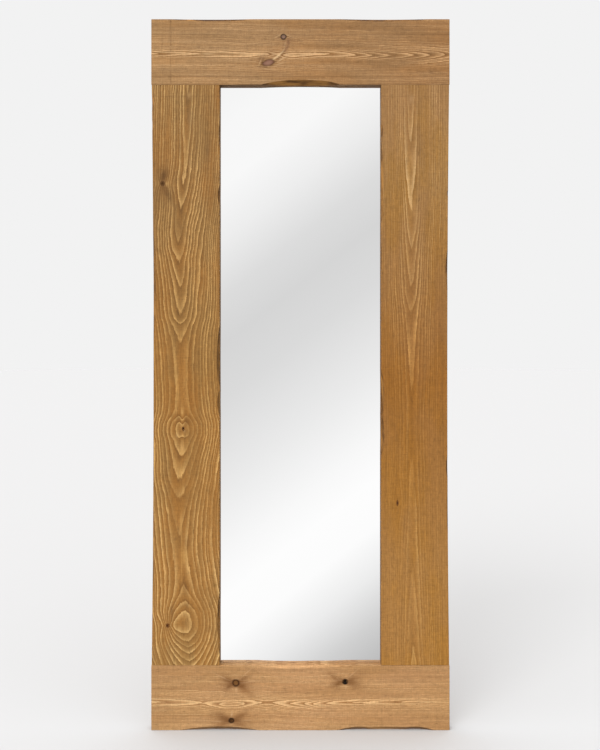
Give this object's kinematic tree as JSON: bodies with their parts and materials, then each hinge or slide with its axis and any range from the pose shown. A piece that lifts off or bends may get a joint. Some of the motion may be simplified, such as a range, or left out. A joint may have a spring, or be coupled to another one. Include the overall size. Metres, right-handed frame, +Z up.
{
  "type": "floor mirror",
  "caption": "Full-length mirror in a broad rustic pine board frame, for leaning or hanging on a wall, with turn buttons over the backing and D-ring hangers.",
  "frame": {"origin": "centre of the bounding box's base, on the underside of the bottom rail", "axes": "+Z up along the mirror's height, -Y out of the glass towards the viewer, +X to the viewer's right"},
  "size_m": [0.746, 0.0362, 1.778],
  "materials": {
    "pine": "stained and waxed, satin, hand-shaved front edges",
    "beech": "plain turned dowel",
    "mirror": "silvered float glass",
    "hardboard": "smooth pressed board",
    "zinc_steel": "bright zinc plate",
    "rubber": "matt",
    "felt": "pressed felt"
  },
  "bodies": {
    "frame": {"top_rail": "pine", "bottom_rail": "pine", "left_stile": "pine", "right_stile": "pine", "dowel_top_left_inner": "beech", "dowel_top_left_outer": "beech", "dowel_top_right_inner": "beech", "dowel_top_right_outer": "beech", "dowel_bottom_left_inner": "beech", "dowel_bottom_left_outer": "beech", "dowel_bottom_right_inner": "beech", "dowel_bottom_right_outer": "beech", "mirror_glass": "mirror", "setting_block_left": "rubber", "setting_block_right": "rubber", "backing_board": "hardboard", "button_screw_left_1": "zinc_steel", "button_screw_left_2": "zinc_steel", "button_screw_left_3": "zinc_steel", "button_screw_right_1": "zinc_steel", "button_screw_right_2": "zinc_steel", "button_screw_right_3": "zinc_steel", "button_screw_top": "zinc_steel", "button_screw_bottom": "zinc_steel", "hanger_strap_left": "zinc_steel", "hanger_screw_left_1": "zinc_steel", "hanger_screw_left_2": "zinc_steel", "hanger_strap_right": "zinc_steel", "hanger_screw_right_1": "zinc_steel", "hanger_screw_right_2": "zinc_steel", "wall_pad_top_left": "felt", "wall_pad_top_right": "felt", "wall_pad_bottom_left": "felt", "wall_pad_bottom_right": "felt"},
    "turn_button_left_1": {"turn_button_left_1": "zinc_steel"},
    "turn_button_left_2": {"turn_button_left_2": "zinc_steel"},
    "turn_button_left_3": {"turn_button_left_3": "zinc_steel"},
    "turn_button_right_1": {"turn_button_right_1": "zinc_steel"},
    "turn_button_right_2": {"turn_button_right_2": "zinc_steel"},
    "turn_button_right_3": {"turn_button_right_3": "zinc_steel"},
    "turn_button_top": {"turn_button_top": "zinc_steel"},
    "turn_button_bottom": {"turn_button_bottom": "zinc_steel"},
    "hanger_ring_left": {"hanger_ring_left": "zinc_steel"},
    "hanger_ring_right": {"hanger_ring_right": "zinc_steel"}
  },
  "joints": [
    {"name": "turn_button_left_1_turn", "type": "hinge", "parent": "frame", "child": "turn_button_left_1", "pos_m": [-0.228, 0.0114, 0.34], "axis": [0, 1, 0], "continuous": true},
    {"name": "turn_button_left_2_turn", "type": "hinge", "parent": "frame", "child": "turn_button_left_2", "pos_m": [-0.228, 0.0114, 0.888], "axis": [0, 1, 0], "continuous": true},
    {"name": "turn_button_left_3_turn", "type": "hinge", "parent": "frame", "child": "turn_button_left_3", "pos_m": [-0.228, 0.0114, 1.436], "axis": [0, 1, 0], "continuous": true},
    {"name": "turn_button_right_1_turn", "type": "hinge", "parent": "frame", "child": "turn_button_right_1", "pos_m": [0.228, 0.0114, 0.34], "axis": [0, 1, 0], "continuous": true},
    {"name": "turn_button_right_2_turn", "type": "hinge", "parent": "frame", "child": "turn_button_right_2", "pos_m": [0.228, 0.0114, 0.888], "axis": [0, 1, 0], "continuous": true},
    {"name": "turn_button_right_3_turn", "type": "hinge", "parent": "frame", "child": "turn_button_right_3", "pos_m": [0.228, 0.0114, 1.436], "axis": [0, 1, 0], "continuous": true},
    {"name": "turn_button_top_turn", "type": "hinge", "parent": "frame", "child": "turn_button_top", "pos_m": [0, 0.0114, 1.64], "axis": [0, 1, 0], "continuous": true},
    {"name": "turn_button_bottom_turn", "type": "hinge", "parent": "frame", "child": "turn_button_bottom", "pos_m": [0, 0.0114, 0.136], "axis": [0, 1, 0], "continuous": true},
    {"name": "hanger_ring_left_swing", "type": "hinge", "parent": "frame", "child": "hanger_ring_left", "pos_m": [-0.287, 0.01395, 1.358], "axis": [1, 0, 0], "range_deg": [0, 180]},
    {"name": "hanger_ring_right_swing", "type": "hinge", "parent": "frame", "child": "hanger_ring_right", "pos_m": [0.287, 0.01395, 1.358], "axis": [1, 0, 0], "range_deg": [0, 180]}
  ]
}
